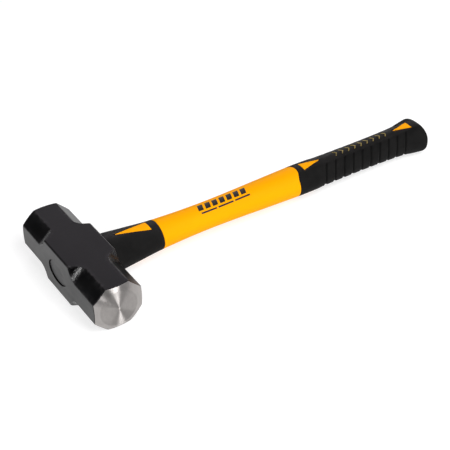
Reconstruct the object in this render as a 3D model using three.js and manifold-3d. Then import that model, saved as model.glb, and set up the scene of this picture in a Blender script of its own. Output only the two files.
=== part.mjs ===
// Short double-faced sledge hammer with an octagonal head and an overmoulded glass-fibre handle.
//
// Frame: millimetres, +Z up. The hammer lies on one cheek. The origin is the centre of the
// lower cheek, straight under the eye; +X runs along the handle towards the butt and the two
// striking faces look along -Y and +Y. Everything is laid out about the middle of the head,
// which is HEAD_HALF_Z above the origin.
import * as THREE from 'three';
import { mergeVertices } from 'three/addons/utils/BufferGeometryUtils.js';
import Module from 'manifold-3d';

const wasm = await Module();
wasm.setup();

// ---- head ----------------------------------------------------------------------------
const HEAD_HALF_X = 23.6;      // half thickness along the handle
const HEAD_HALF_Z = 22.2;      // half thickness from cheek to cheek
const CHEEK_FLAT = 11.4;       // half width of the cheek between the corner cuts
const SIDE_FLAT = 10.35;       // half height of the side between the corner cuts
const CUT_START = 35.5;        // |y| where the flat of a corner cut turns up
const CUT_RADIUS = 14;         // radius of the scoop that a corner cut runs out in
const FACE_Y = 72.0;           // |y| of the centre of a striking face
const FACE_FLAT_R = 7;         // flat middle of the crowned face
const FACE_CROWN_R = 18.2;     // edge of the crown, where the turned bevel begins
const FACE_CROWN_Y = 71.1;
const BEVEL_SLOPE = 0.48;      // turned bevel, fall in y for each mm of radius

// ---- eye and what is in it -------------------------------------------------------------
const EYE_Y = 16.3;            // half axes of the oval at both mouths
const EYE_Z = 11.0;
const EYE_WAIST_Y = 14.9;      // half axes at the middle of the head
const EYE_WAIST_Z = 9.7;
const GAP = 0.3;               // clearance that neighbouring solids keep
const CORE_Y = 11.5;           // half axes of the oval glass-fibre rod
const CORE_Z = 7.5;
const CORE_START = -20.6;
const CORE_END = 374;
const FILL_TOP = -22.9;        // top of the resin, a little below the head's top face
const FILL_END = 20.6;
const SEAL_START = 20.9;
const SEAL_END = 23.5;

// ---- handle ----------------------------------------------------------------------------
const HANDLE_START = HEAD_HALF_X + GAP;
const COLLAR_END = 78.3;
const GRIP_START = 233;         // front edge of the grip on both flanks
const GRIP_START_CHEEK = 237.2; // and on both cheeks
const BUTT_RIM = 391.4;
const BUTT_END = 393.4;
const SKIN = 2.2;              // thickness of the soft sleeves over the jacket
const PROUD = 0.25;            // how far the soft sleeves stand above the jacket
// Outer half axes of the handle: [x, half Y, half Z]
const OUTLINE = [
  [HANDLE_START, 20.6, 19.0], [33, 20.0, 18.3], [41, 19.2, 17.4], [48, 18.5, 16.7], [54, 18.0, 16.1],
  [60, 17.3, 15.5], [66, 16.7, 14.95], [72, 16.1, 14.45], [79.5, 15.7, 14.0], [90, 15.35, 13.5],
  [102, 14.7, 13.15], [115, 14.2, 12.95], [128, 14.05, 12.8], [140, 14.1, 12.75], [155, 14.35, 12.95],
  [172, 14.8, 13.3], [190, 15.5, 13.7], [208, 16.05, 14.1], [222, 16.5, 14.4], [237, 16.8, 14.65],
  [250, 16.8, 14.6], [262, 16.4, 14.5], [272, 15.8, 14.5], [284, 15.5, 14.5], [300, 15.4, 14.5],
  [316, 15.1, 14.65], [332, 15.1, 14.9], [348, 15.4, 15.15], [360, 15.9, 15.35], [368, 16.6, 15.5],
  [375, 17.5, 15.6], [382, 18.8, 15.6], [388, 20.0, 15.5], [BUTT_RIM, 20.5, 15.4],
];
// Cross grooves of the grip. Each lies in two upright planes that meet over the middle and lean
// towards the head: x = GROOVE_FIRST + i * GROOVE_PITCH - GROOVE_SKEW * |y|
const GROOVE_FIRST = 275.3;
const GROOVE_PITCH = 11.37;
const GROOVE_COUNT = 10;
const GROOVE_DEPTH = 1.0;
const GROOVE_HALF = 1.8;
const GROOVE_SKEW = 0.68;
const TOP_BAND = 6.2;          // half width of the smooth band along both cheeks of the grip
// Yellow triangles, seen through windows in the sleeves: [apex x, base x, half width of base]
const TRIANGLES = {
  collar: [[34.4, 69.9, 6.3]],
  grip: [[266.6, 244.0, 5.6], [360.0, 381.9, 5.2]],
};

// ---- helpers ---------------------------------------------------------------------------
function solidOf(geometry) {
  const g = geometry.clone();
  for (const name of Object.keys(g.attributes)) if (name !== 'position') g.deleteAttribute(name);
  const m = mergeVertices(g, 1e-4);
  return new wasm.Manifold(new wasm.Mesh({
    numProp: 3,
    vertProperties: new Float32Array(m.attributes.position.array),
    triVerts: new Uint32Array(m.index.array),
  }));
}

function geometryOf(solid) {
  const m = solid.getMesh();
  const g = new THREE.BufferGeometry();
  g.setAttribute('position', new THREE.BufferAttribute(new Float32Array(m.vertProperties), 3));
  g.setIndex(new THREE.BufferAttribute(new Uint32Array(m.triVerts), 1));
  g.computeVertexNormals();
  return g;
}

function outline(x) {
  let i = 0;
  while (i < OUTLINE.length - 2 && x > OUTLINE[i + 1][0]) i++;
  const [a, b] = [OUTLINE[i], OUTLINE[i + 1]];
  const t = Math.min(1, Math.max(0, (x - a[0]) / (b[0] - a[0])));
  return [a[1] + (b[1] - a[1]) * t, a[2] + (b[2] - a[2]) * t];
}

// Exponent of the oval: an ellipse along the handle, a little squarer at the butt.
const square = (x) => 2 + 0.4 * Math.min(1, Math.max(0, (x - 368) / 22));

// A rod of oval section along X: a cylinder whose rows are moved to the stations [x, half Y, half Z].
function rod(stations, sides = 24) {
  const rows = stations.length - 1;
  const g = new THREE.CylinderGeometry(1, 1, 1, sides, rows, false);
  g.rotateZ(-Math.PI / 2);
  const p = g.attributes.position;
  for (let i = 0; i < p.count; i++) {
    const s = stations[Math.round((p.getX(i) + 0.5) * rows)];
    const bend = (v) => Math.sign(v) * Math.abs(v) ** (2 / square(s[0]));
    p.setXYZ(i, s[0], bend(p.getY(i)) * s[1], bend(p.getZ(i)) * s[2]);
  }
  return g;
}

function stations(x0, x1, inset) {
  const xs = [x0, x1];
  for (const [x] of OUTLINE) if (x > x0 + 1 && x < x1 - 1) xs.push(x);
  return xs.sort((a, b) => a - b).map((x) => {
    const [y, z] = outline(x);
    return [x, y - inset, z - inset];
  });
}

// A triangular prism standing on both cheeks of the handle, cut from the wall between two depths.
function triangle([apex, base, half], grow) {
  const dir = Math.sign(apex - base);
  const len = Math.abs(apex - base);
  const side = Math.hypot(len, half);
  // moving each side of the triangle outwards by grow
  const tip = (grow * side) / half;
  const wide = (half * (len + tip + grow)) / len;
  const s = new THREE.Shape();
  s.moveTo(apex + dir * tip, 0);
  s.lineTo(base - dir * grow, dir * wide);
  s.lineTo(base - dir * grow, -dir * wide);
  s.closePath();
  const g = new THREE.ExtrudeGeometry(s, { depth: 60, bevelEnabled: false });
  g.translate(0, 0, -30);
  return solidOf(g);
}

// ---- head ----------------------------------------------------------------------------
function makeHead() {
  let head = solidOf(new THREE.BoxGeometry(2 * HEAD_HALF_X, 2 * FACE_Y + 2, 2 * HEAD_HALF_Z));

  // ends turned to a crown and a bevel
  const r = 36;
  const y = FACE_CROWN_Y - BEVEL_SLOPE * (r - FACE_CROWN_R);
  const profile = [
    [0, -FACE_Y], [FACE_FLAT_R, -FACE_Y], [13, -FACE_Y + 0.35], [FACE_CROWN_R, -FACE_CROWN_Y], [r, -y],
    [r, y], [FACE_CROWN_R, FACE_CROWN_Y], [13, FACE_Y - 0.35], [FACE_FLAT_R, FACE_Y], [0, FACE_Y],
  ].map(([a, b]) => new THREE.Vector2(a, b));
  head = head.intersect(solidOf(new THREE.LatheGeometry(profile, 40)));

  // corner cuts: the flat of the cut, then the scoop it runs out in
  const n = new THREE.Vector2(HEAD_HALF_Z - SIDE_FLAT, HEAD_HALF_X - CHEEK_FLAT).normalize();
  const flat = n.x * CHEEK_FLAT + n.y * HEAD_HALF_Z;
  const corner = n.x * HEAD_HALF_X + n.y * HEAD_HALF_Z;
  const rise = corner + 1 - flat;
  const sweep = Math.acos(1 - rise / CUT_RADIUS);
  for (const end of [-1, 1]) {
    const s = new THREE.Shape();
    s.moveTo(end * (FACE_Y + 4), flat);
    s.lineTo(end * CUT_START, flat);
    const steps = 10;
    for (let i = 1; i <= steps; i++) {
      const a = (sweep * i) / steps;
      s.lineTo(end * (CUT_START - CUT_RADIUS * Math.sin(a)), flat + CUT_RADIUS * (1 - Math.cos(a)));
    }
    s.lineTo(end * (FACE_Y + 4), corner + 1);
    s.closePath();
    const cutter = new THREE.ExtrudeGeometry(s, { depth: 60, bevelEnabled: false });
    cutter.translate(0, 0, -30);
    for (const sx of [-1, 1]) {
      for (const sz of [-1, 1]) {
        const u = new THREE.Vector3(0, 1, 0);
        const v = new THREE.Vector3(sx * n.x, 0, sz * n.y);
        const w = new THREE.Vector3().crossVectors(u, v);
        head = head.subtract(solidOf(cutter.clone().applyMatrix4(new THREE.Matrix4().makeBasis(u, v, w))));
      }
    }
  }

  // eye, narrowest at the middle
  return head.subtract(solidOf(rod(eye(-HEAD_HALF_X - 1, HEAD_HALF_X + 1, 0), 24)));
}

function eye(x0, x1, inset) {
  const xs = [x0];
  for (const x of [-15, -8, 0, 8, 15]) if (x > x0 + 0.5 && x < x1 - 0.5) xs.push(x);
  xs.push(x1);
  return xs.map((x) => {
    const t = (x / HEAD_HALF_X) ** 2;
    return [x, EYE_WAIST_Y + (EYE_Y - EYE_WAIST_Y) * t - inset, EYE_WAIST_Z + (EYE_Z - EYE_WAIST_Z) * t - inset];
  });
}

const core = (x0, x1, grow) => rod([[x0, CORE_Y + grow, CORE_Z + grow], [x1, CORE_Y + grow, CORE_Z + grow]], 20);

const makeFill = () => solidOf(rod(eye(FILL_TOP, FILL_END, GAP), 24))
  .subtract(solidOf(core(CORE_START - GAP, FILL_END + 1, GAP)));

const makeSeal = () => solidOf(rod(eye(SEAL_START, SEAL_END, GAP), 24))
  .subtract(solidOf(core(SEAL_START - 1, SEAL_END + 1, GAP)));

// ---- jacket and soft sleeves -------------------------------------------------------------
function makeJacket() {
  const under = SKIN + GAP;
  // thin under the collar, full between the sleeves, thin again under the grip
  const st = [
    ...stations(HANDLE_START, COLLAR_END + GAP, under),
    ...stations(COLLAR_END + GAP + 0.01, GRIP_START - GAP - 1.5, PROUD),
    ...stations(GRIP_START - GAP - 1.49, BUTT_END - SKIN - GAP - 4, under),
  ];
  let jacket = solidOf(rod(st))
    .add(solidOf(rod(stations(GRIP_START - 9, GRIP_START_CHEEK + 1, PROUD))).intersect(beforeGrip(GAP)));
  // triangles that reach through the windows to just below the sleeves' surface
  const all = [...TRIANGLES.collar, ...TRIANGLES.grip];
  for (const t of all) {
    const x0 = Math.min(t[0], t[1]) - 3;
    const x1 = Math.max(t[0], t[1]) + 3;
    jacket = jacket.add(solidOf(rod(stations(x0, x1, 0.15))).intersect(triangle(t, 0)));
  }
  return jacket.subtract(solidOf(core(HANDLE_START - 5, CORE_END + GAP, GAP)));
}

// Everything in front of the grip's front edge, moved back by shift: straight across the cheeks, then
// swept forward round the flanks.
function beforeGrip(shift) {
  const d = GRIP_START_CHEEK - GRIP_START;
  const edge = [[0, 1], [2, 1], [5.9, 0.74], [8, 0.53], [10, 0.34], [12, 0.17], [14.2, 0.04], [16, 0]];
  const s = new THREE.Shape();
  s.moveTo(100, -40);
  s.lineTo(GRIP_START - shift, -40);
  for (const [y, f] of [...edge].reverse()) s.lineTo(GRIP_START + f * d - shift, -y);
  for (const [y, f] of edge.slice(1)) s.lineTo(GRIP_START + f * d - shift, y);
  s.lineTo(GRIP_START - shift, 40);
  s.lineTo(100, 40);
  s.closePath();
  const g = new THREE.ExtrudeGeometry(s, { depth: 60, bevelEnabled: false });
  g.translate(0, 0, -30);
  return solidOf(g);
}

function windows(list, sleeve) {
  for (const t of list) sleeve = sleeve.subtract(triangle(t, GAP));
  return sleeve;
}

function makeCollar() {
  const outer = solidOf(rod(stations(HANDLE_START, COLLAR_END, 0)));
  const inner = solidOf(rod(stations(HANDLE_START, COLLAR_END, SKIN).map((s, i, a) => (
    i === 0 ? [s[0] - 5, s[1], s[2]] : i === a.length - 1 ? [s[0] + 5, s[1], s[2]] : s))));
  return windows(TRIANGLES.collar, outer.subtract(inner));
}

function makeGrip() {
  const [ry, rz] = outline(BUTT_RIM);
  let grip = solidOf(rod([
    ...stations(GRIP_START - 1, BUTT_RIM, 0),
    [BUTT_END - 0.6, ry - 0.8, rz - 0.8], [BUTT_END, ry - 1.7, rz - 1.7],
  ])).subtract(beforeGrip(0));
  // cross grooves on both flanks, stopping at the smooth bands along the cheeks
  for (let i = 0; i < GROOVE_COUNT; i++) {
    const x = GROOVE_FIRST + i * GROOVE_PITCH;
    const w = GROOVE_HALF * 1.5;
    const [oy, oz] = outline(x - GROOVE_SKEW * 13);
    const lip = 0.5 * GROOVE_DEPTH;
    const ring = solidOf(rod([[x - w + 0.1, oy + 4, oz + 4], [x + w - 0.1, oy + 4, oz + 4]]))
      .subtract(solidOf(rod([
        [x - w, oy + lip, oz + lip], [x, oy - GROOVE_DEPTH, oz - GROOVE_DEPTH], [x + w, oy + lip, oz + lip],
      ])));
    const band = new THREE.BoxGeometry(12, 2 * TOP_BAND, 60);
    band.translate(x, 0, 0);
    grip = grip.subtract(ring.subtract(solidOf(band)).warp((v) => { v[0] -= GROOVE_SKEW * Math.abs(v[1]); }));
  }
  const inner = stations(GRIP_START - 5, BUTT_END - SKIN - 4, SKIN);
  return windows(TRIANGLES.grip, grip.subtract(solidOf(rod(inner))));
}

// ---- assembly ----------------------------------------------------------------------------
const hammer = new THREE.Group();
const parts = new THREE.Group();
parts.position.z = HEAD_HALF_Z;
hammer.add(parts);

function piece(name, solid, color, roughness, metalness) {
  const mesh = new THREE.Mesh(
    geometryOf(solid),
    new THREE.MeshStandardMaterial({ color, roughness, metalness }),
  );
  mesh.name = name;
  parts.add(mesh);
}

piece('hammer_head', makeHead(), 0x2e2c2f, 0.35, 0.4);
piece('fibreglass_core', solidOf(core(CORE_START, CORE_END, 0)), 0xc9bd97, 0.6, 0);
piece('eye_resin', makeFill(), 0x3a383a, 0.4, 0);
piece('eye_seal', makeSeal(), 0x191919, 0.9, 0);
piece('handle_jacket', makeJacket(), 0xffb000, 0.45, 0);
piece('overstrike_collar', makeCollar(), 0x1d1d1d, 0.8, 0);
piece('rear_grip', makeGrip(), 0x1d1d1d, 0.8, 0);

export default hammer;
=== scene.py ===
import math

import bmesh
import bpy
import numpy as np
from mathutils import Matrix, Vector


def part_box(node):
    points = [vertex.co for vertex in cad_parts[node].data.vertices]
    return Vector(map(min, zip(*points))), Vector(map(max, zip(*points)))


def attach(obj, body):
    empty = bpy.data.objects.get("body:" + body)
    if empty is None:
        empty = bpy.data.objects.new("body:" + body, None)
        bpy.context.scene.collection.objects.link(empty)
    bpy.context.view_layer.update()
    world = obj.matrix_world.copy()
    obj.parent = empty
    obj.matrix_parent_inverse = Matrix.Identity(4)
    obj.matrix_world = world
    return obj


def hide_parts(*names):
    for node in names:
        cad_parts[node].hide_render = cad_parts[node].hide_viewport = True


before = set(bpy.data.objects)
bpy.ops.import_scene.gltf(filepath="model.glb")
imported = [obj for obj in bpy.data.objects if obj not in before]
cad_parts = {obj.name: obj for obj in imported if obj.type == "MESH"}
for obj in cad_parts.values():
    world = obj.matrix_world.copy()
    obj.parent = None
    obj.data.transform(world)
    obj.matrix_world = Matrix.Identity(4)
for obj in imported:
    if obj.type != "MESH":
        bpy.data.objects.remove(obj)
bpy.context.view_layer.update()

MM = 0.001

# ------------------------------------------------------------------ places, from the frame
head_lo, head_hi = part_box("hammer_head")
collar_lo, collar_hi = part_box("overstrike_collar")
grip_lo, grip_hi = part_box("rear_grip")
jacket_lo, jacket_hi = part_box("handle_jacket")
ZC = (head_lo.z + head_hi.z) / 2 / MM           # the handle's axis, above the lower cheek

HX = (head_hi.x - head_lo.x) / 2 / MM           # half thickness along the handle
HZ = (head_hi.z - head_lo.z) / 2 / MM           # half thickness from cheek to cheek
FACE_Y = (head_hi.y - head_lo.y) / 2 / MM
COLLAR_X0 = collar_lo.x / MM
COLLAR_X1 = collar_hi.x / MM
GRIP_X0 = grip_lo.x / MM
BUTT_X = grip_hi.x / MM

CHEEK_FLAT = 11.4
SIDE_FLAT = 10.35
CUT_START = 35.5
CUT_R = 14.0
CROWN_R = 18.2
CROWN_Y = FACE_Y - 0.9
BEVEL = 0.48
TURN_X = -1.0                                    # the faces were turned a little off the head's middle
EYE = (16.3, 11.0)
EYE_WAIST = (14.9, 9.7)
CORE = (11.5, 7.5)
GAP = 0.3
SKIN = 2.2
BAND = 6.2
GROOVES = [275.3 + 11.37 * i for i in range(10)]   # where each groove would meet the middle
GROOVE_SKEW = 0.68                               # x falls by this for each mm of |y|
SEAM_CHEEK = 4.2                                 # how far the grip's front edge is swept back on the cheeks

OUTLINE = np.array([
    (23.9, 20.6, 19.0), (33, 20.0, 18.3), (41, 19.2, 17.4), (48, 18.5, 16.7), (54, 18.0, 16.1),
    (60, 17.3, 15.5), (66, 16.7, 14.95), (72, 16.1, 14.45), (79.5, 15.7, 14.0), (90, 15.35, 13.5),
    (102, 14.7, 13.15), (115, 14.2, 12.95), (128, 14.05, 12.8), (140, 14.1, 12.75), (155, 14.35, 12.95),
    (172, 14.8, 13.3), (190, 15.5, 13.7), (208, 16.05, 14.1), (222, 16.5, 14.4), (237, 16.8, 14.65),
    (250, 16.8, 14.6), (262, 16.4, 14.5), (272, 15.8, 14.5), (284, 15.5, 14.5), (300, 15.4, 14.5),
    (316, 15.1, 14.65), (332, 15.1, 14.9), (348, 15.4, 15.15), (360, 15.9, 15.35), (368, 16.6, 15.5),
    (375, 17.5, 15.6), (382, 18.8, 15.6), (388, 20.0, 15.5), (391.4, 20.5, 15.4),
])
TRIANGLES = {
    "collar": [(34.4, 69.9, 6.3)],
    "grip": [(266.6, 244.0, 5.6), (360.0, 381.9, 5.2)],
}


# ------------------------------------------------------------------ small helpers
def smoothstep(a, b, x):
    t = np.clip((np.asarray(x, float) - a) / (b - a), 0, 1)
    return t * t * (3 - 2 * t)


def _slopes(x, y):
    """Monotone cubic slopes, so that the outline is smooth and never overshoots."""
    h = np.diff(x)
    d = np.diff(y) / h
    m = np.zeros_like(y)
    m[0], m[-1] = d[0], d[-1]
    for i in range(1, len(x) - 1):
        if d[i - 1] * d[i] > 0:
            w1, w2 = 2 * h[i] + h[i - 1], h[i] + 2 * h[i - 1]
            m[i] = (w1 + w2) / (w1 / d[i - 1] + w2 / d[i])
    return m


_SY, _SZ = _slopes(OUTLINE[:, 0], OUTLINE[:, 1]), _slopes(OUTLINE[:, 0], OUTLINE[:, 2])


def outline(x):
    """Smooth half axes (y, z) of the handle at x."""
    x = np.clip(np.asarray(x, float), OUTLINE[0, 0], OUTLINE[-1, 0])
    i = np.clip(np.searchsorted(OUTLINE[:, 0], x) - 1, 0, len(OUTLINE) - 2)
    x0, x1 = OUTLINE[i, 0], OUTLINE[i + 1, 0]
    h = x1 - x0
    t = (x - x0) / h
    a, b = 2 * t**3 - 3 * t**2 + 1, t**3 - 2 * t**2 + t
    c, d = -2 * t**3 + 3 * t**2, t**3 - t**2
    y = a * OUTLINE[i, 1] + b * h * _SY[i] + c * OUTLINE[i + 1, 1] + d * h * _SY[i + 1]
    z = a * OUTLINE[i, 2] + b * h * _SZ[i] + c * OUTLINE[i + 1, 2] + d * h * _SZ[i + 1]
    return y, z


def make_mesh(name, verts, faces, material_index=None, attribute=None):
    """verts in mm about the handle's axis; the object is in metres in the row frame."""
    v = np.asarray(verts, float).copy()
    v[:, 2] += ZC
    me = bpy.data.meshes.new(name)
    me.from_pydata((v * MM).tolist(), [], [list(map(int, f)) for f in faces])
    if material_index is not None:
        me.polygons.foreach_set("material_index", np.asarray(material_index, np.int32))
    me.validate()
    ob = bpy.data.objects.new(name, me)
    bpy.context.scene.collection.objects.link(ob)
    bm = bmesh.new()
    bm.from_mesh(me)
    bmesh.ops.recalc_face_normals(bm, faces=bm.faces)
    bm.to_mesh(me)
    bm.free()
    return ob


def loft(rings, closed=False):
    """Quads between rings of the same length. Open chains are capped by fans to the end rings' middles."""
    n = len(rings[0])
    verts = np.concatenate([np.asarray(r, float) for r in rings])
    faces = []
    m = len(rings)
    for i in range(m if closed else m - 1):
        a, b = i * n, ((i + 1) % m) * n
        for j in range(n):
            k = (j + 1) % n
            faces.append((a + j, a + k, b + k, b + j))
    if not closed:
        c0, c1 = len(verts), len(verts) + 1
        verts = np.vstack([verts, np.mean(rings[0], 0), np.mean(rings[-1], 0)])
        last = (m - 1) * n
        for j in range(n):
            k = (j + 1) % n
            faces.append((c0, k, j))
            faces.append((c1, last + j, last + k))
    return verts, faces


def oval(x, a, b, sides):
    """An oval ring; x may differ from point to point. The oval is an ellipse that gets a little squarer at the butt."""
    t = np.arange(sides) * 2 * math.pi / sides
    x = np.broadcast_to(np.asarray(x, float), (sides,))
    k = 2 / (2 + 0.4 * np.clip((x - 368) / 22, 0, 1))
    c, s = np.cos(t), np.sin(t)
    return np.stack([x, a * np.sign(c) * np.abs(c) ** k, b * np.sign(s) * np.abs(s) ** k], 1)


def cut(ob, other, operation="DIFFERENCE"):
    """Applies a boolean and removes the tool."""
    bpy.context.view_layer.update()
    mod = ob.modifiers.new("cut", "BOOLEAN")
    mod.operation = operation
    mod.object = other
    mod.solver = "EXACT"
    mod.material_mode = "TRANSFER"
    dep = bpy.context.evaluated_depsgraph_get()
    me = bpy.data.meshes.new_from_object(ob.evaluated_get(dep))
    ob.modifiers.clear()
    old = ob.data
    ob.data = me
    me.name = old.name
    bpy.data.meshes.remove(old)
    data = other.data
    bpy.data.objects.remove(other)
    bpy.data.meshes.remove(data)
    return ob


def tidy(ob, dist=0.00001):
    bm = bmesh.new()
    bm.from_mesh(ob.data)
    bmesh.ops.remove_doubles(bm, verts=bm.verts, dist=dist)
    bmesh.ops.dissolve_degenerate(bm, dist=dist * 0.5, edges=bm.edges)
    loose = [v for v in bm.verts if not v.link_faces]
    bmesh.ops.delete(bm, geom=loose, context="VERTS")
    bm.to_mesh(ob.data)
    bm.free()


def shade(ob, angle=32, weighted=True):
    """Smooth shading with sharp edges above the angle, and normals that keep flats flat."""
    me = ob.data
    me.polygons.foreach_set("use_smooth", np.ones(len(me.polygons), bool))
    bm = bmesh.new()
    bm.from_mesh(me)
    lim = math.radians(angle)
    for e in bm.edges:
        e.smooth = not (len(e.link_faces) == 2 and e.calc_face_angle(0) > lim)
    bm.to_mesh(me)
    bm.free()
    if weighted:
        mod = ob.modifiers.new("normals", "WEIGHTED_NORMAL")
        mod.keep_sharp = True
        mod.weight = 60
        dep = bpy.context.evaluated_depsgraph_get()
        new = bpy.data.meshes.new_from_object(ob.evaluated_get(dep))
        ob.modifiers.clear()
        old = ob.data
        ob.data = new
        new.name = old.name
        bpy.data.meshes.remove(old)


def prism(name, tri, grow, round_r=0.35):
    """A prism through both cheeks over a triangle (apex x, base x, half base), sides moved out by grow."""
    apex, base, half = tri
    d = 1.0 if apex > base else -1.0
    length = abs(apex - base)
    side = math.hypot(length, half)
    tip = grow * side / half
    wide = half * (length + tip + grow) / length
    pts = [Vector((apex + d * tip, 0)), Vector((base - d * grow, wide)), Vector((base - d * grow, -wide))]
    out = []
    for i, p in enumerate(pts):
        a, b = pts[i - 1], pts[(i + 1) % 3]
        u, w = (a - p).normalized(), (b - p).normalized()
        ang = u.angle(w)
        r = round_r
        run = r / math.tan(ang / 2)
        c = p + (u + w).normalized() * (r / math.sin(ang / 2))
        s, e = p + u * run - c, p + w * run - c
        a0 = math.atan2(s.y, s.x)
        a1 = math.atan2(e.y, e.x)
        while a1 - a0 > math.pi:
            a1 -= 2 * math.pi
        while a1 - a0 < -math.pi:
            a1 += 2 * math.pi
        for k in range(6):
            t = a0 + (a1 - a0) * k / 5
            out.append((c.x + r * math.cos(t), c.y + r * math.sin(t)))
    n = len(out)
    verts = [(x, y, -40.0) for x, y in out] + [(x, y, 40.0) for x, y in out]
    faces = [list(range(n))[::-1], list(range(n, 2 * n))]
    faces += [(i, (i + 1) % n, n + (i + 1) % n, n + i) for i in range(n)]
    return make_mesh(name, verts, faces)


# ------------------------------------------------------------------ node helpers
class Nodes:
    def __init__(self, name):
        self.mat = bpy.data.materials.new(name)
        self.mat.use_nodes = True
        self.t = self.mat.node_tree
        self.t.nodes.clear()
        self.out = self.t.nodes.new("ShaderNodeOutputMaterial")
        self.bsdf = self.t.nodes.new("ShaderNodeBsdfPrincipled")
        self.t.links.new(self.bsdf.outputs[0], self.out.inputs["Surface"])
        self.coord = self.t.nodes.new("ShaderNodeTexCoord")

    def link(self, a, b):
        self.t.links.new(a, b)

    def set(self, **values):
        for k, v in values.items():
            self.bsdf.inputs[k.replace("_", " ")].default_value = v

    def mapping(self, scale=(1, 1, 1), location=(0, 0, 0), source=None):
        n = self.t.nodes.new("ShaderNodeMapping")
        n.inputs["Scale"].default_value = scale
        n.inputs["Location"].default_value = location
        self.link(source or self.coord.outputs["Object"], n.inputs["Vector"])
        return n.outputs[0]

    def noise(self, scale, detail=3.0, rough=0.5, vector=None, distortion=0.0):
        n = self.t.nodes.new("ShaderNodeTexNoise")
        n.inputs["Scale"].default_value = scale
        n.inputs["Detail"].default_value = detail
        n.inputs["Roughness"].default_value = rough
        n.inputs["Distortion"].default_value = distortion
        self.link(vector or self.coord.outputs["Object"], n.inputs["Vector"])
        return n.outputs["Fac"]

    def voronoi(self, scale, vector=None, feature="F1", out="Distance"):
        n = self.t.nodes.new("ShaderNodeTexVoronoi")
        n.feature = feature
        n.inputs["Scale"].default_value = scale
        self.link(vector or self.coord.outputs["Object"], n.inputs["Vector"])
        return n.outputs[out]

    def ramp(self, fac, stops, mode="LINEAR"):
        n = self.t.nodes.new("ShaderNodeValToRGB")
        n.color_ramp.interpolation = mode
        e = n.color_ramp.elements
        while len(e) > 1:
            e.remove(e[0])
        for i, (p, c) in enumerate(stops):
            c = (c, c, c, 1) if isinstance(c, (int, float)) else (*c, 1)
            if i == 0:
                e[0].position, e[0].color = p, c
            else:
                e.new(p).color = c
        self.link(fac, n.inputs["Fac"])
        return n.outputs["Color"]

    def range(self, value, a, b, c, d, smooth=False):
        n = self.t.nodes.new("ShaderNodeMapRange")
        if smooth:
            n.interpolation_type = "SMOOTHSTEP"
        for k, v in zip(("From Min", "From Max", "To Min", "To Max"), (a, b, c, d)):
            n.inputs[k].default_value = v
        self.link(value, n.inputs["Value"])
        return n.outputs[0]

    def math(self, op, a, b=None, clamp=False):
        n = self.t.nodes.new("ShaderNodeMath")
        n.operation = op
        n.use_clamp = clamp
        for i, v in enumerate((a, b)):
            if v is None:
                continue
            if isinstance(v, (int, float)):
                n.inputs[i].default_value = v
            else:
                self.link(v, n.inputs[i])
        return n.outputs[0]

    def mix(self, fac, a, b, blend="MIX"):
        n = self.t.nodes.new("ShaderNodeMix")
        n.data_type = "RGBA"
        n.blend_type = blend
        for key, v in (("Factor", fac), ("A", a), ("B", b)):
            s = [i for i in n.inputs if i.name == key and i.enabled][0] if key == "Factor" else [
                i for i in n.inputs if i.name == key and i.type == "RGBA"][0]
            if isinstance(v, (int, float)):
                s.default_value = v
            elif isinstance(v, tuple):
                s.default_value = (*v, 1)
            else:
                self.link(v, s)
        return [o for o in n.outputs if o.type == "RGBA"][0]

    def xyz(self, source=None):
        n = self.t.nodes.new("ShaderNodeSeparateXYZ")
        self.link(source or self.coord.outputs["Object"], n.inputs[0])
        return n.outputs

    def bump(self, height, strength, distance, normal=None):
        n = self.t.nodes.new("ShaderNodeBump")
        n.inputs["Strength"].default_value = strength
        n.inputs["Distance"].default_value = distance
        self.link(height, n.inputs["Height"])
        if normal is not None:
            self.link(normal, n.inputs["Normal"])
        return n.outputs[0]

    def attribute(self, name):
        n = self.t.nodes.new("ShaderNodeAttribute")
        n.attribute_type = "GEOMETRY"
        n.attribute_name = name
        return n.outputs["Fac"]


# ------------------------------------------------------------------ materials
def paint_material():
    """Stoved black lacquer on a forging: near black, glossy, with orange peel, handling marks and thin edges."""
    m = Nodes("black_lacquer")
    cloud = m.noise(55, 4, 0.55)
    fine = m.noise(900, 2, 0.5)
    streak = m.noise(90, 4, 0.6, m.mapping((1.0, 0.12, 1.0)))
    edge = m.attribute("edge")
    base = m.mix(m.range(cloud, 0.35, 0.7, 0, 1), (0.0007, 0.0006, 0.0008), (0.0018, 0.0015, 0.0020))
    thin = m.math("MULTIPLY", edge, m.range(m.noise(260, 4, 0.65), 0.40, 0.66, 0.0, 1.0, True))
    base = m.mix(m.math("MULTIPLY", thin, 0.55), base, (0.045, 0.043, 0.045))
    m.link(base, m.bsdf.inputs["Base Color"])
    rough = m.math("ADD", m.range(cloud, 0.3, 0.75, 0.27, 0.34), m.range(streak, 0.35, 0.7, 0.0, 0.06))
    rough = m.math("ADD", rough, m.math("MULTIPLY", edge, 0.10), clamp=True)
    scoop = m.attribute("scoop")
    rough = m.math("SUBTRACT", rough, m.math("MULTIPLY", scoop, 0.16), clamp=True)
    m.link(rough, m.bsdf.inputs["Roughness"])
    h = m.math("ADD", m.math("MULTIPLY", fine, 0.25), m.math("MULTIPLY", streak, 0.75))
    n = m.bump(h, 0.10, 0.0006)
    n = m.bump(m.noise(330, 3, 0.5), 0.06, 0.0005, n)
    pits = m.noise(640, 3, 0.6)
    n = m.bump(m.math("MULTIPLY", pits, scoop), 0.40, 0.0007, n)
    m.link(n, m.bsdf.inputs["Normal"])
    gloss = m.math("MULTIPLY", scoop, m.range(pits, 0.38, 0.62, 0.35, 1.0, True))
    m.link(m.range(gloss, 0.0, 1.0, 0.5, 1.0), m.bsdf.inputs["Specular IOR Level"])
    m.set(IOR=1.31)
    return m.mat


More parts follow.
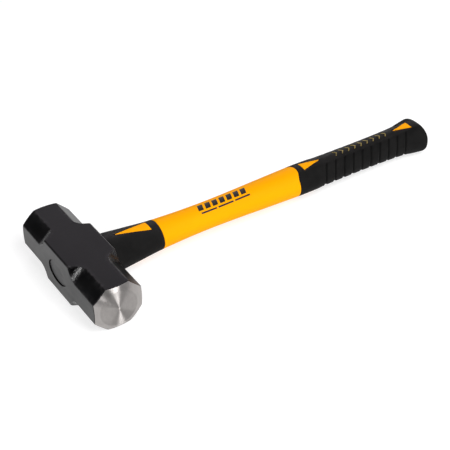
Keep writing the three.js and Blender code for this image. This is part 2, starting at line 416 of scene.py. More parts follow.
def steel_material():
    """Turned steel: fine rings about the head's long axis, lightly uneven, with a painted highlight at the turning
    centre.
    """
    m = Nodes("turned_steel")
    x, y, z = m.xyz()
    x = m.math("SUBTRACT", x, TURN_X * MM)
    dz = m.math("SUBTRACT", z, ZC * MM)
    r2 = m.math("ADD", m.math("MULTIPLY", x, x), m.math("MULTIPLY", dz, dz))
    r = m.math("SQRT", r2)
    # rings: noise that only depends on the radius, at two scales
    comb = m.t.nodes.new("ShaderNodeCombineXYZ")
    m.link(m.math("MULTIPLY", r, 1.0), comb.inputs["X"])
    rings = m.noise(2600, 3, 0.7, comb.outputs[0])
    wide = m.noise(420, 3, 0.6, comb.outputs[0])
    stain = m.noise(70, 4, 0.6)
    grain = m.noise(1500, 2, 0.6)
    tone = m.mix(m.range(stain, 0.35, 0.7, 0, 1), (0.39, 0.369, 0.358), (0.51, 0.484, 0.470))
    tone = m.mix(m.range(rings, 0.35, 0.68, 0.0, 0.45), tone, (0.27, 0.255, 0.247))
    tone = m.mix(m.range(r, (CROWN_R - 0.3) * MM, (CROWN_R + 0.3) * MM, 0.0, 0.14), tone, (0.56, 0.535, 0.52))
    tone = m.mix(m.range(grain, 0.45, 0.75, 0.0, 0.14), tone, (0.20, 0.19, 0.185))
    # painted highlight: a small bright spot painted into the steel's colour at the turning centre, where the face's
    # highlights meet
    tone = m.mix(m.range(r, 0.3 * MM, 1.5 * MM, 0.55, 0.0, True), tone, (0.86, 0.82, 0.80))
    m.link(tone, m.bsdf.inputs["Base Color"])
    rough = m.math("ADD", m.range(wide, 0.3, 0.7, 0.42, 0.50), m.range(stain, 0.3, 0.7, -0.02, 0.04))
    rough = m.math("ADD", rough, m.range(r, (CROWN_R - 0.3) * MM, (CROWN_R + 0.3) * MM, 0.02, -0.05))
    m.link(rough, m.bsdf.inputs["Roughness"])
    tan = m.t.nodes.new("ShaderNodeCombineXYZ")
    m.link(x, tan.inputs["X"])
    m.link(dz, tan.inputs["Z"])
    m.link(tan.outputs[0], m.bsdf.inputs["Tangent"])
    h = m.math("ADD", m.math("MULTIPLY", rings, 0.6), m.math("MULTIPLY", wide, 0.4))
    m.link(m.bump(h, 0.22, 0.00012), m.bsdf.inputs["Normal"])
    m.set(Metallic=1.0, Anisotropic=1.0)
    return m.mat


def jacket_material():
    """Yellow moulded polypropylene with a faint mould texture and flow variation."""
    m = Nodes("yellow_jacket")
    flow = m.noise(28, 3, 0.55, m.mapping((0.25, 1.0, 1.0)))
    grain = m.noise(2400, 2, 0.6)
    mottle = m.noise(210, 3, 0.6)
    base = m.mix(m.range(flow, 0.32, 0.7, 0, 1), (0.97, 0.378, 0.0004), (1.0, 0.398, 0.0007))
    base = m.mix(m.range(mottle, 0.45, 0.75, 0.0, 0.10), base, (0.93, 0.345, 0.0008))
    m.link(base, m.bsdf.inputs["Base Color"])
    m.link(m.math("ADD", m.range(flow, 0.3, 0.7, 0.50, 0.60), m.range(grain, 0.3, 0.7, 0.0, 0.06)), m.bsdf.inputs["Roughness"])
    n = m.bump(grain, 0.10, 0.00012)
    m.link(m.bump(mottle, 0.05, 0.0004, n), m.bsdf.inputs["Normal"])
    m.set(IOR=1.46, Specular_IOR_Level=0.04)
    return m.mat


def rubber_material():
    """Black soft sleeve: matt, finely textured, slightly greyed where hands rub; the smooth band is painted lighter as
    painted light, and the grooves and the joint with the head carry painted shade.
    """
    m = Nodes("black_rubber")
    cloud = m.noise(60, 4, 0.6)
    grain = m.noise(1900, 3, 0.65)
    pebble = m.voronoi(1500)
    base = m.mix(m.range(cloud, 0.35, 0.7, 0, 1), (0.0034, 0.0033, 0.0033), (0.0090, 0.0086, 0.0085))
    base = m.mix(m.range(grain, 0.45, 0.75, 0.0, 0.35), base, (0.012, 0.0115, 0.0112))
    base = m.mix(m.math("MULTIPLY", m.attribute("edge"), m.range(grain, 0.4, 0.7, 0.2, 0.55)), base, (0.034, 0.033, 0.032))
    band = m.attribute("band")
    # painted light: the smooth band along the cheeks is painted lighter, standing in for the light that the upper band
    # catches
    base = m.mix(m.math("MULTIPLY", band, m.range(cloud, 0.3, 0.7, 0.55, 0.95)), base, (0.0175, 0.0160, 0.0163))
    # painted shade: near black deep in the grip's grooves and in a band next to the collar's joint with the head
    base = m.mix(m.math("MULTIPLY", m.attribute("groove"), 0.85), base, (0.0008, 0.0008, 0.0008))
    m.link(base, m.bsdf.inputs["Base Color"])
    rough = m.math("SUBTRACT", m.range(cloud, 0.3, 0.72, 0.72, 0.82), m.math("MULTIPLY", band, 0.34))
    m.link(rough, m.bsdf.inputs["Roughness"])
    n = m.bump(pebble, 0.16, 0.00018)
    m.link(m.bump(grain, 0.14, 0.00015, n), m.bsdf.inputs["Normal"])
    m.set(IOR=1.5, Specular_IOR_Level=0.11)
    return m.mat


def ink_material():
    """Black pad-printed ink, a little broken at the edges of the print."""
    m = Nodes("printed_black")
    wear = m.noise(1300, 3, 0.6)
    m.link(m.mix(m.range(wear, 0.5, 0.8, 0.0, 0.3), (0.010, 0.009, 0.008), (0.05, 0.035, 0.012)), m.bsdf.inputs["Base Color"])
    m.link(m.range(wear, 0.3, 0.7, 0.38, 0.52), m.bsdf.inputs["Roughness"])
    m.link(m.bump(m.noise(2400, 2, 0.6), 0.08, 0.0001), m.bsdf.inputs["Normal"])
    m.set(Specular_IOR_Level=0.4)
    return m.mat


def mark_material():
    """Dull gold paint on the raised marks, rubbed back to black in places."""
    m = Nodes("rubbed_gold_paint")
    rub = m.noise(420, 4, 0.65)
    grain = m.noise(1800, 2, 0.6)
    gold = m.mix(m.range(grain, 0.35, 0.7, 0, 1), (0.20, 0.140, 0.030), (0.33, 0.245, 0.062))
    m.link(m.mix(m.range(rub, 0.50, 0.66, 0.0, 0.85, True), gold, (0.045, 0.036, 0.016)), m.bsdf.inputs["Base Color"])
    m.link(m.range(rub, 0.3, 0.7, 0.42, 0.6), m.bsdf.inputs["Roughness"])
    m.link(m.bump(grain, 0.15, 0.00015), m.bsdf.inputs["Normal"])
    m.set(Specular_IOR_Level=0.4)
    return m.mat


def core_material():
    """Pultruded glass fibre: pale resin with long strands along the handle."""
    m = Nodes("glass_fibre")
    strand = m.noise(900, 3, 0.6, m.mapping((0.02, 1.0, 1.0)))
    m.link(m.mix(m.range(strand, 0.35, 0.7, 0, 1), (0.50, 0.44, 0.27), (0.66, 0.60, 0.42)), m.bsdf.inputs["Base Color"])
    m.link(m.range(strand, 0.3, 0.7, 0.45, 0.65), m.bsdf.inputs["Roughness"])
    m.link(m.bump(strand, 0.25, 0.0002), m.bsdf.inputs["Normal"])
    return m.mat


def seal_material():
    """Soft black sealing ring at the lower end of the eye."""
    m = Nodes("seal_rubber")
    grain = m.noise(1600, 3, 0.6)
    m.link(m.mix(m.range(grain, 0.35, 0.7, 0, 1), (0.009, 0.009, 0.009), (0.02, 0.019, 0.019)), m.bsdf.inputs["Base Color"])
    m.link(m.range(grain, 0.3, 0.7, 0.7, 0.85), m.bsdf.inputs["Roughness"])
    m.link(m.bump(grain, 0.2, 0.0002), m.bsdf.inputs["Normal"])
    return m.mat


def floor_material():
    """Plain near-white paper sweep."""
    m = Nodes("studio_paper")
    fibre = m.noise(14, 3, 0.5)
    m.link(m.mix(m.range(fibre, 0.3, 0.7, 0, 1), (0.395, 0.395, 0.395), (0.405, 0.405, 0.405)), m.bsdf.inputs["Base Color"])
    m.set(Roughness=0.95, Specular_IOR_Level=0.0)
    m.bsdf.inputs["Emission Color"].default_value = (1, 1, 1, 1)
    m.bsdf.inputs["Emission Strength"].default_value = 0.72
    return m.mat


PAINT = paint_material()
STEEL = steel_material()
YELLOW = jacket_material()
RUBBER = rubber_material()
INK = ink_material()
GOLD = mark_material()
FIBRE = core_material()
SEAL = seal_material()
PAPER = floor_material()


# ------------------------------------------------------------------ head
NX, NZ = HZ - SIDE_FLAT, HX - CHEEK_FLAT
_l = math.hypot(NX, NZ)
NX, NZ = NX / _l, NZ / _l
CUT_D = NX * CHEEK_FLAT + NZ * HZ
EDGE_R = 1.5                                     # rounding of the long edges


def cut_distance(y):
    """Distance of the corner cut from the head's axis at y, running out smoothly in the scoop."""
    apex = NX * (HX - EDGE_R) + NZ * (HZ - EDGE_R) + EDGE_R
    a = CUT_START - abs(y)
    if a <= 0:
        return CUT_D
    if a >= CUT_R:
        return apex + 1
    d = CUT_D + CUT_R - math.sqrt(CUT_R**2 - a**2)
    k = 2.0                                      # smooth minimum with the uncut edge
    h = max(k - abs(d - apex), 0) / k
    return min(d, apex) - h * h * k / 4


def head_section(y):
    """Rounded octagon at y: 4 quadrants, each side flat, corner round, cut, corner round, cheek flat."""
    d = cut_distance(y)
    r = EDGE_R
    phi = math.atan2(NZ, NX)
    z1 = min((d - r - NX * (HX - r)) / NZ, HZ - r)
    x2 = min((d - r - NZ * (HZ - r)) / NX, HX - r)
    c1, c2 = (HX - r, z1), (x2, HZ - r)
    q = [(HX, z1 * t) for t in (0.0, 0.35, 0.7, 1 - 0.5 / max(z1, 1))]
    q += [(c1[0] + r * math.cos(phi * k / 5), c1[1] + r * math.sin(phi * k / 5)) for k in range(6)]
    p1, p2 = q[-1], (c2[0] + r * math.cos(phi), c2[1] + r * math.sin(phi))
    q += [(p1[0] + (p2[0] - p1[0]) * t, p1[1] + (p2[1] - p1[1]) * t) for t in (0.04, 0.33, 0.67, 0.96)]
    a = phi
    b = math.pi / 2
    q += [(c2[0] + r * math.cos(a + (b - a) * k / 5), c2[1] + r * math.sin(a + (b - a) * k / 5)) for k in range(6)]
    q += [(x2 * t, HZ) for t in (1 - 0.5 / max(x2, 1), 0.7, 0.35)]
    # go round: quadrant 1, mirrored 2, 3, 4
    out = list(q) + [(0.0, HZ)]
    out += [(-x, z) for x, z in reversed(q)]
    out += [(x, -z) for x, z in [(-px, pz) for px, pz in q[1:]]]
    out += [(0.0, -HZ)]
    out += [(x, -z) for x, z in reversed(q[1:])]
    return np.array(out)


def face_height(r):
    r = np.asarray(r, float)
    crown = FACE_Y - (FACE_Y - CROWN_Y) * (np.clip(r, 0, CROWN_R) / CROWN_R) ** 2.2
    bevel = CROWN_Y - BEVEL * (r - CROWN_R)
    w = smoothstep(CROWN_R - 0.35, CROWN_R + 0.35, r)
    return crown * (1 - w) + bevel * w


def build_head():
    lip = 0.55                                   # rounding between the sides and the turned bevel
    ys = [0, 6, 12, 17, 20.5]
    ys += list(np.arange(21.3, 27.0, 0.3)) + list(np.arange(27.0, 36.6, 0.6)) + [38, 42, 48, 54, 60, 63]
    sec_end = head_section(FACE_Y)
    rho = np.hypot(sec_end[:, 0], sec_end[:, 1])
    unit = sec_end / rho[:, None]
    turn = np.array([TURN_X, 0.0])
    edge_y = CROWN_Y - BEVEL * (np.hypot(sec_end[:, 0] - TURN_X, sec_end[:, 1]) - CROWN_R)

    def ring(xz, y):
        return np.stack([xz[:, 0], np.full(len(xz), y) if np.isscalar(y) else y, xz[:, 1]], 1)

    half = [ring(head_section(y), float(y)) for y in ys]
    body = edge_y - lip
    for t in (0.35, 0.75, 0.93, 1.0):
        half.append(ring(sec_end, 63 + (body - 63) * t))
    cosb = 1 / math.hypot(1, BEVEL)
    p0 = np.stack([rho, edge_y - lip], 1)
    p1 = np.stack([rho, edge_y], 1)
    p2 = np.stack([rho - lip * cosb, edge_y + lip * BEVEL * cosb], 1)
    for t in (0.2, 0.4, 0.6, 0.8, 1.0):
        p = p0 * (1 - t) ** 2 + p1 * 2 * t * (1 - t) + p2 * t**2
        half.append(ring(unit * p[:, :1], p[:, 1]))
    steel_from = len(half) - 2                   # bare steel starts just inside the rounded lip
    rim, inner = unit * p2[:, :1], unit * (CROWN_R + 0.5) + turn
    for t in (0.15, 0.55, 0.9):
        xz = rim + (inner - rim) * t
        half.append(ring(xz, face_height(np.hypot(xz[:, 0] - TURN_X, xz[:, 1]))))
    for r in (18.5, 18.3, 18.1, 17.9, 17.6, 16.8, 15.5, 14, 12.5, 11, 9.5, 8, 6.5, 5, 3.5, 2.2, 1.1, 0.4):
        half.append(ring(unit * r + turn, face_height(np.full(len(rho), r))))
    other = [h * np.array([1, -1, 1]) for h in half[1:]]
    rings = other[::-1] + half
    verts, faces = loft(rings)
    n = len(sec_end)
    m = len(rings)
    steel_rows = len(half) - 1 - steel_from      # quad rows of bare steel at each end
    mats = []
    for i in range(m - 1):
        s = 1 if (i < steel_rows or i >= m - 1 - steel_rows) else 0
        mats += [s] * n
    mats += [1] * (2 * n)
    ob = make_mesh("head_forging", verts, faces, mats)
    ob.data.materials.append(PAINT)
    ob.data.materials.append(STEEL)
    # the eye, narrowest at the middle, with a small rounded mouth
    st = []
    for x in (-HX - 1.0, -HX, -HX + 0.12, -HX + 0.3, -HX + 0.5, -15, -8, 0, 8, 15, HX - 0.5, HX - 0.3, HX - 0.12, HX, HX + 1.0):
        t = min(1.0, (x / HX) ** 2)
        a = EYE_WAIST[0] + (EYE[0] - EYE_WAIST[0]) * t
        b = EYE_WAIST[1] + (EYE[1] - EYE_WAIST[1]) * t
        e = max(0.0, abs(x) - (HX - 0.5)) / 0.5
        g = 0.4 * (1 - math.sqrt(max(0.0, 1 - min(e, 1) ** 2)))
        st.append(oval(x, a + g, b + g, 96))
    tool = make_mesh("eye_tool", *loft(st))
    tool.data.materials.append(PAINT)
    cut(ob, tool)
    tidy(ob)
    # how close each point is to an edge, for the thin paint there
    me = ob.data
    co = np.array([v.co for v in me.vertices]) / MM
    ax, ay, az = np.abs(co[:, 0]), np.abs(co[:, 1]), np.abs(co[:, 2] - ZC)
    d = np.array([cut_distance(y) for y in ay])
    gaps = np.stack([HX - ax, HZ - az, d - NX * ax - NZ * az], 1)
    gaps.sort(axis=1)
    near = 1 - smoothstep(0.25, 1.3, gaps[:, 1])
    rad = np.hypot(ax, az)
    lipd = (CROWN_Y - BEVEL * (np.hypot(co[:, 0] - TURN_X, az) - CROWN_R)) - ay
    near = np.maximum(near, (1 - smoothstep(0.3, 1.4, lipd)) * (rad > 19))
    att = me.attributes.new("edge", "FLOAT", "POINT")
    att.data.foreach_set("value", near.astype(np.float32))
    # the scoops, between the full edges of the middle and the corner cuts of the ends
    on_cut = 1 - smoothstep(0.05, 0.6, d - NX * ax - NZ * az)
    scoop = on_cut * smoothstep(21.3, 23.0, ay) * (1 - smoothstep(CUT_START - 3.5, CUT_START - 0.5, ay))
    att = me.attributes.new("scoop", "FLOAT", "POINT")
    att.data.foreach_set("value", scoop.astype(np.float32))
    shade(ob, 30)
    return ob


# ------------------------------------------------------------------ filling of the eye
def build_fill():
    """Epoxy that fills the eye round the rod; its top was painted with the head, and sank a little as it set."""
    a, b = EYE
    sides = 96
    top = -HX + 1.0
    def at(x, inset):
        t = (x / HX) ** 2
        return (EYE_WAIST[0] + (a - EYE_WAIST[0]) * t - inset, EYE_WAIST[1] + (b - EYE_WAIST[1]) * t - inset)
    chain = []
    # bore for the rod, open at the handle end
    bore = (CORE[0] + GAP, CORE[1] + GAP)
    for x in (-20.9, 20.6):
        chain.append(oval(x, bore[0], bore[1], sides))
    # outer wall back up to the top
    for x in (20.6, 10, 0, -10, -20, top + 0.35):
        y_, z_ = at(x, GAP)
        chain.append(oval(x, y_, z_, sides))
    y_, z_ = at(top, GAP)
    for k in (1, 2, 3):
        s = k / 3 * math.pi / 2
        chain.append(oval(top + 0.35 * (1 - math.sin(s)), y_ - 0.35 * (1 - math.cos(s)), z_ - 0.35 * (1 - math.cos(s)), sides))
    t = np.arange(sides) * 2 * math.pi / sides
    for f in (0.93, 0.85, 0.72, 0.56, 0.38, 0.2, 0.08):
        r = oval(top, (y_ - 0.35) * f, (z_ - 0.35) * f, sides)
        dish = 0.22 * (1 - smoothstep(0.55, 1.0, f))
        wave = 0.05 * np.sin(3 * t + 0.7) * f + 0.04 * np.sin(5 * t + 2.1) * f
        r[:, 0] += dish + wave * (1 - smoothstep(0.85, 1.0, f))
        chain.append(r)
    ob = make_mesh("eye_epoxy", *loft(chain))
    ob.data.materials.append(PAINT)
    for key in ("edge", "scoop"):
        att = ob.data.attributes.new(key, "FLOAT", "POINT")
        att.data.foreach_set("value", np.zeros(len(ob.data.vertices), np.float32))
    shade(ob, 40)
    return ob


# ------------------------------------------------------------------ handle
def xs_between(x0, x1, step, extra=()):
    n = max(2, int(math.ceil((x1 - x0) / step)))
    xs = list(np.linspace(x0, x1, n + 1)) + [e for e in extra if x0 < e < x1]
    xs = sorted(set(round(float(x), 4) for x in xs))
    keep = [xs[0]]
    for x in xs[1:]:
        if x - keep[-1] > 0.04:
            keep.append(x)
    keep[-1] = xs[-1]
    return keep


def ring_at(x, inset, sides):
    y, z = outline(x)
    return oval(x, y - inset, z - inset, sides)


def seam_sweep(sides):
    """How far back the grip's front edge lies round the section, from 0 on the flanks to SEAM_CHEEK on the cheeks."""
    t = np.arange(sides) * 2 * math.pi / sides
    from_cheek = np.degrees(np.arccos(np.clip(np.abs(np.sin(t)), 0, 1)))
    return SEAM_CHEEK * (1 - smoothstep(4, 58, from_cheek))


def build_collar():
    sides = 144
    x0, x1, r = COLLAR_X0, COLLAR_X1, 0.6
    chain = []
    # outer skin with rounded ends
    for k in range(5):
        s = k / 4 * math.pi / 2
        chain.append(ring_at(x0 + r * (1 - math.sin(s)), r * (1 - math.cos(math.pi / 2 - s)), sides))
    for x in xs_between(x0 + r, x1 - 0.35, 1.5)[1:]:
        chain.append(ring_at(x, 0.0, sides))
    for k in (1, 2, 3, 4):
        s = k / 4 * math.pi / 2
        chain.append(ring_at(x1 - 0.35 + 0.35 * math.sin(s), 0.35 * (1 - math.cos(s)), sides))
    for x in xs_between(x0, x1, 3.0)[::-1]:
        chain.append(ring_at(x, SKIN, sides))
    ob = make_mesh("collar_sleeve", *loft(chain, closed=True))
    ob.data.materials.append(RUBBER)
    for tri in TRIANGLES["collar"]:
        tool = prism("window_tool", tri, 0.28)
        tool.data.materials.append(RUBBER)
        cut(ob, tool)
    tidy(ob)
    edge_attribute(ob, ends=(x1,), band=1.0, soft=9.0, joint=x0)
    shade(ob, 35)
    return ob


def edge_attribute(ob, ends=(), band=1.0, soft=2.0, grooved=False, joint=None):
    """Stores how close a point is to a worn end, how much it belongs to the smooth band along the cheeks,
    and how deep it lies in a groove or how near it lies to the joint at x = joint; the rubber paints shade by this last
    value."""
    me = ob.data
    co = np.array([v.co for v in me.vertices]) / MM
    near = np.zeros(len(co))
    for e in ends:
        near = np.maximum(near, 1 - smoothstep(0.1, 0.9, np.abs(co[:, 0] - e)))
    att = me.attributes.new("edge", "FLOAT", "POINT")
    att.data.foreach_set("value", near.astype(np.float32))
    smooth = band * (1 - smoothstep(BAND - soft, BAND + soft, np.abs(co[:, 1])))
    att = me.attributes.new("band", "FLOAT", "POINT")
    att.data.foreach_set("value", smooth.astype(np.float32))
    deep = np.zeros(len(co))
    if grooved:
        ay = np.abs(co[:, 1])
        deep = np.clip(groove_depth(co[:, 0], ay) / 1.05, 0, 1) ** 1.5 * smoothstep(BAND - 0.2, BAND + 0.8, ay)
    if joint is not None:
        deep = np.maximum(deep, 1 - smoothstep(0.5, 2.0, np.abs(co[:, 0] - joint)))
    att = me.attributes.new("groove", "FLOAT", "POINT")
    att.data.foreach_set("value", deep.astype(np.float32))


def build_jacket():
    sides = 144
    under = SKIN + GAP
    proud = 0.12
    x0 = COLLAR_X0
    back = jacket_hi.x / MM
    chain = []
    bore = (CORE[0] + GAP, CORE[1] + GAP)
    end = 374.3
    for x in xs_between(x0, end, 30)[::-1]:
        chain.append(oval(x, bore[0], bore[1], sides))
    for x in xs_between(x0, COLLAR_X1 + GAP, 4):
        chain.append(ring_at(x, under, sides))
    a, b = COLLAR_X1 + GAP, GRIP_X0 - GAP
    for k in range(5):
        s = k / 4 * math.pi / 2
        chain.append(ring_at(a + 0.3 * (1 - math.cos(s)), proud + 0.3 * (1 - math.sin(s)), sides))
    sweep = seam_sweep(sides)
    for x in xs_between(a + 0.3, b - 0.3, 1.6)[1:-1]:
        chain.append(ring_at(x + sweep * float(smoothstep(b - 30, b, x)), proud, sides))
    for k in range(5):
        s = k / 4 * math.pi / 2
        chain.append(ring_at(b + sweep - 0.3 * (1 - math.sin(s)), proud + 0.3 * (1 - math.cos(s)), sides))
    for i, x in enumerate(xs_between(b, back, 6)):
        chain.append(ring_at(x + sweep * max(0.0, 1 - i / 3), under, sides))
    ob = make_mesh("jacket_moulding", *loft(chain))
    ob.data.materials.append(YELLOW)
    for tri in TRIANGLES["collar"] + TRIANGLES["grip"]:
        xa, xb = min(tri[0], tri[1]) - 2, max(tri[0], tri[1]) + 2
        island = [ring_at(x, 0.06, sides) for x in xs_between(xa, xb, 1.5)]
        low = [ring_at(x, under + 0.6, sides) for x in xs_between(xa, xb, 1.5)[::-1]]
        isl = make_mesh("island", *loft(island + low, closed=True))
        isl.data.materials.append(YELLOW)
        tool = prism("island_tool", tri, 0.0)
        tool.data.materials.append(YELLOW)
        cut(isl, tool, "INTERSECT")
        cut(ob, isl, "UNION")
    tidy(ob)
    shade(ob, 35)
    return ob


def groove_depth(x, ay):
    """Depth of the cross grooves at points (x, |y|), with rounded shoulders and a narrow bottom."""
    c = x + GROOVE_SKEW * ay
    d = np.zeros_like(c)
    for g in GROOVES:
        u = np.clip(np.abs(c - g) / 2.0, 0, 1)
        d = np.maximum(d, 1.05 * (0.5 + 0.5 * np.cos(math.pi * u)) ** 0.8)
    return d


def grip_ring(x, sides, skew):
    """Outer ring of the grip: grooved flanks, and a smooth band standing slightly proud along both cheeks.
    The ring leans with the grooves by the share skew, so that its points run along them."""
    y0, z0 = outline(x)
    ay = np.abs(oval(x, y0, z0, sides)[:, 1])
    xs = np.full(sides, float(x)) + skew
    y, z = outline(xs)
    r = oval(xs, y, z, sides)
    ay = np.abs(r[:, 1])
    flank = smoothstep(BAND - 0.2, BAND + 0.8, ay)
    c = xs + GROOVE_SKEW * ay
    zone = smoothstep(GROOVES[0] - 9, GROOVES[0] - 4, c) * (1 - smoothstep(GROOVES[-1] + 4, GROOVES[-1] + 9, c))
    rib = np.zeros(sides)
    for g in GROOVES[:-1]:
        u = np.clip(np.abs(c - g - 11.37 / 2) / 5.6, 0, 1)
        rib = np.maximum(rib, 0.10 * (1 - u * u))
    inset = flank * (groove_depth(xs, ay) + zone * 0.25 - rib)
    n = np.stack([np.zeros(sides), r[:, 1] / y**2, r[:, 2] / z**2], 1)
    n /= np.linalg.norm(n, axis=1)[:, None]
    return r - n * inset[:, None]


def build_grip():
    sides = 192
    chain = []
    sweep = seam_sweep(sides)
    inner_end = BUTT_X - SKIN - 4
    inner = xs_between(GRIP_X0, inner_end, 6)
    for i, x in reversed(list(enumerate(inner))):
        chain.append(ring_at(x + sweep * max(0.0, 1 - i / 3), SKIN, sides))
    for k in range(5):
        s = k / 4 * math.pi / 2
        chain.append(ring_at(GRIP_X0 + sweep + 0.35 * (1 - math.cos(s)), 0.35 * (1 - math.sin(s)), sides))
    # rings are laid along the grooves: u is the place over the middle, and the ring leans forward on the flanks
    rim = BUTT_X - 2.0
    t = np.arange(sides) * 2 * math.pi / sides
    c = np.abs(np.cos(t))
    lean = []
    offs = (-2.1, -1.85, -1.6, -1.35, -1.1, -0.85, -0.6, -0.35, -0.12, 0.12, 0.35, 0.6, 0.85, 1.1, 1.35, 1.6, 1.85, 2.1)
    us = xs_between(GRIP_X0 + 0.35, GROOVES[0] - 2.5, 1.6)[1:]
    for i, g in enumerate(GROOVES):
        us += [g + o for o in offs]
        if i + 1 < len(GROOVES):
            us += list(np.linspace(g + 2.1, GROOVES[i + 1] - 2.1, 6)[1:-1])
    last = GROOVES[-1] + 2.1
    us += xs_between(last, rim - 1.0, 1.3)[1:]
    for u in us:
        # share of the full lean: none at the front edge, full over the grooves, none at the rim
        w = float(smoothstep(GRIP_X0 + 2, GROOVES[0] - 3, u))
        w2 = float(smoothstep(last, rim - 1.0, u))
        y0, _ = outline(u - GROOVE_SKEW * 13)
        skew = -GROOVE_SKEW * float(y0) * c * w * (1 - w2)
        front = sweep * (1 - float(smoothstep(GRIP_X0, GRIP_X0 + 22, u)))
        chain.append(grip_ring(u, sides, skew + front))
    ry, rz = (float(v) for v in outline(OUTLINE[-1, 0]))
    ly, lz = (float(v) for v in outline(rim - 1.0))
    R = 1.0
    x0, x1 = rim - 1.0, BUTT_X - 0.15
    for k in range(1, 10):
        s = k / 9 * math.pi / 2
        m = min(1.0, k / 5)
        ins = R * (1 - math.cos(s))
        chain.append(oval(x0 + (x1 - x0) * math.sin(s), ly + (ry - ly) * m - ins, lz + (rz - lz) * m - ins, sides))
    for f in (0.85, 0.68, 0.5, 0.3, 0.12):
        chain.append(oval(BUTT_X - 0.15 * f * f, (ry - R) * f, (rz - R) * f, sides))
    ob = make_mesh("grip_sleeve", *loft(chain))
    ob.data.materials.append(RUBBER)
    for tri in TRIANGLES["grip"]:
        tool = prism("window_tool", tri, 0.28)
        tool.data.materials.append(RUBBER)
        cut(ob, tool)
    tidy(ob)
    edge_attribute(ob, band=0.6, soft=1.5, grooved=True)
    shade(ob, 40)
    return ob


# ------------------------------------------------------------------ printed bars and raised marks
def on_surface(x, y, inset, lift):
    """A point on the handle's upper cheek side above (x, y), lifted along the surface normal."""
    a, b = outline(x)
    a, b = float(a) - inset, float(b) - inset
    z = b * math.sqrt(max(0.0, 1 - (y / a) ** 2))
    n = Vector((0, y / a**2, z / b**2)).normalized()
    return (x, y + n.y * lift, z + n.z * lift)


def tiles(name, quads, inset, low, high, material, nx=6, ny=8):
    """Closed thin tiles that follow the handle's surface. A quad is four (x, y) corners in order."""
    verts, faces = [], []
    for q in quads:
        base = len(verts)
        p = [Vector(c) for c in q]
        for lift in (low, high):
            for j in range(ny + 1):
                for i in range(nx + 1):
                    u, v = i / nx, j / ny
                    c = (p[0] * (1 - u) + p[1] * u) * (1 - v) + (p[3] * (1 - u) + p[2] * u) * v
                    verts.append(on_surface(c.x, c.y, inset, lift))
        w = nx + 1
        layer = w * (ny + 1)
        for j in range(ny):
            for i in range(nx):
                a = base + j * w + i
                faces.append((a, a + w, a + w + 1, a + 1))
                a += layer
                faces.append((a, a + 1, a + w + 1, a + w))
        edge = [base + i for i in range(nx)] + [base + j * w + nx for j in range(ny)]
        edge += [base + ny * w + i for i in range(nx, 0, -1)] + [base + j * w for j in range(ny, 0, -1)]
        for k in range(len(edge)):
            a, b = edge[k], edge[(k + 1) % len(edge)]
            faces.append((a, b, b + layer, a + layer))
    ob = make_mesh(name, verts, faces)
    ob.data.materials.append(material)
    shade(ob, 30, weighted=False)
    return ob


def build_print():
    """Plain slanted blocks over a broken line, printed on the jacket."""
    quads = []
    y0, y1 = -5.0, 2.5
    slant = 2.2
    for i in range(7):
        x = 122 + i * 8.0
        quads.append([(x, y0), (x + 5.6, y0), (x + 5.6 + slant, y1), (x + slant, y1)])
    for a, b in ((123.5, 140.5), (142.2, 159.2), (160.9, 178.0)):
        quads.append([(a, -8.4), (b, -8.4), (b, -6.9), (a, -6.9)])
    return tiles("jacket_print", quads, 0.12, -0.25, 0.035, INK)


def build_marks():
    """A row of plain chevrons standing out of the grip's upper band."""
    quads = []
    w = 1.2
    for i in range(9):
        x = 284.5 + i * 7.9
        quads.append([(x, -3.4), (x + w, -3.4), (x + w + 2.8, -0.02), (x + 2.8, -0.02)])
        quads.append([(x + 2.8, 0.02), (x + w + 2.8, 0.02), (x + w, 3.4), (x, 3.4)])
    return tiles("grip_marks", quads, 0.0, -0.4, 0.28, GOLD, 3, 5)


# ------------------------------------------------------------------ put together
head = build_head()
fill = build_fill()
collar = build_collar()
jacket = build_jacket()
grip = build_grip()
marks = build_marks()
ink = build_print()

for piece in (head, fill, collar, jacket, grip, marks, ink):
    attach(piece, "root")
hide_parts("hammer_head")
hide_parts("eye_resin")
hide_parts("overstrike_collar")
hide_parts("handle_jacket")
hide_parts("rear_grip")

for node, mat in (("fibreglass_core", FIBRE), ("eye_seal", SEAL)):
    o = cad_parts[node]
    o.data.materials.clear()
    o.data.materials.append(mat)

# ------------------------------------------------------------------ stage
# The hammer leans: it rests on the lower edge of the head beside the handle and on the rim of the butt.
butt_z = ZC - 15.5
lean = math.atan2(butt_z, 388.0 - HX)
me = bpy.data.meshes.new("floor")
bm = bmesh.new()
bmesh.ops.create_grid(bm, x_segments=24, y_segments=24, size=7.0)
bm.to_mesh(me)
bm.free()
floor = bpy.data.objects.new("floor", me)
bpy.context.scene.collection.objects.link(floor)
floor.rotation_euler = (0, -lean, 0)
floor.location = (HX * MM, 0, -0.0001)
floor.data.materials.append(PAPER)


def softbox(name, direction, distance, size_x, size_y, radiance, colour=(1, 1, 1), target=(0.03, 0, 0.02)):
    data = bpy.data.lights.new(name, "AREA")
    data.shape = "RECTANGLE"
    data.size, data.size_y = size_x, size_y
    data.energy = radiance * math.pi * size_x * size_y
    data.color = colour
    ob = bpy.data.objects.new(name, data)
    bpy.context.scene.collection.objects.link(ob)
    d = Vector(direction).normalized()
    ob.location = Vector(target) + d * distance
    ob.rotation_mode = "QUATERNION"
    ob.rotation_quaternion = d.to_track_quat("Z", "Y")
    ob.visible_camera = False
    return ob


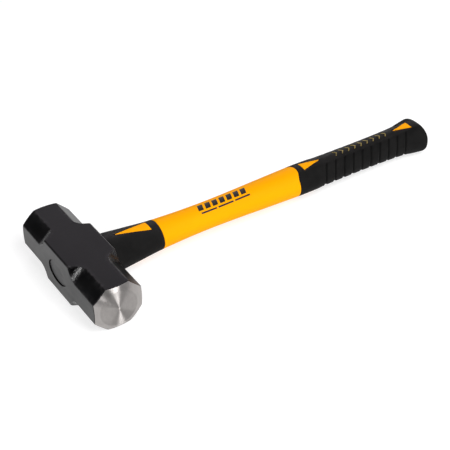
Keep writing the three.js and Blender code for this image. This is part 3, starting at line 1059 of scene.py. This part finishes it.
softbox("key_top", (0.17, -0.54, 0.82), 1.5, 0.80, 0.8, 9.2)
softbox("front_low", (0.24, -0.88, 0.41), 1.6, 0.42, 0.34, 13.5)
softbox("side_left", (-0.80, -0.09, 0.58), 1.4, 0.30, 0.26, 30.0)
softbox("rim_right", (0.70, 0.69, 0.19), 1.7, 0.9, 0.22, 5.0)
softbox("back_dim", (0.324, 0.714, 0.621), 1.6, 1.3, 1.0, 1.00, (1.0, 0.93, 1.02))

world = bpy.data.worlds.new("studio")
bpy.context.scene.world = world
world.use_nodes = True
nt = world.node_tree
nt.nodes.clear()
w_out = nt.nodes.new("ShaderNodeOutputWorld")
w_bg = nt.nodes.new("ShaderNodeBackground")
w_co = nt.nodes.new("ShaderNodeTexCoord")
w_se = nt.nodes.new("ShaderNodeSeparateXYZ")
w_ra = nt.nodes.new("ShaderNodeValToRGB")
nt.links.new(w_co.outputs["Generated"], w_se.inputs[0])
nt.links.new(w_se.outputs["Z"], w_ra.inputs["Fac"])
e = w_ra.color_ramp.elements
e[0].position, e[0].color = 0.01, (0.76, 0.76, 0.76, 1)
e[1].position, e[1].color = 0.12, (0.012, 0.012, 0.012, 1)
nt.links.new(w_ra.outputs["Color"], w_bg.inputs["Color"])
w_bg.inputs["Strength"].default_value = 1.0
nt.links.new(w_bg.outputs[0], w_out.inputs["Surface"])

# ------------------------------------------------------------------ camera
cam_data = bpy.data.cameras.new("camera")
cam = bpy.data.objects.new("camera", cam_data)
bpy.context.scene.collection.objects.link(cam)
forward = Vector((0.4437, 0.6669, -0.5987)).normalized()
right = Vector((0.8331, -0.5531, 0.0014))
right = (right - forward * right.dot(forward)).normalized()
up = right.cross(forward)
cam.matrix_world = Matrix.Translation((-0.33286, -0.73260, 0.65953)) @ Matrix((right, up, -forward)).transposed().to_4x4()
cam_data.sensor_width = 36
cam_data.lens = 1138.9 * 36 / 450
cam_data.clip_start, cam_data.clip_end = 0.05, 60
bpy.context.scene.camera = cam

view = bpy.context.scene.view_settings
view.view_transform = "Standard"
view.look = "None"
view.exposure = 0
view.gamma = 1

bpy.context.view_layer.update()
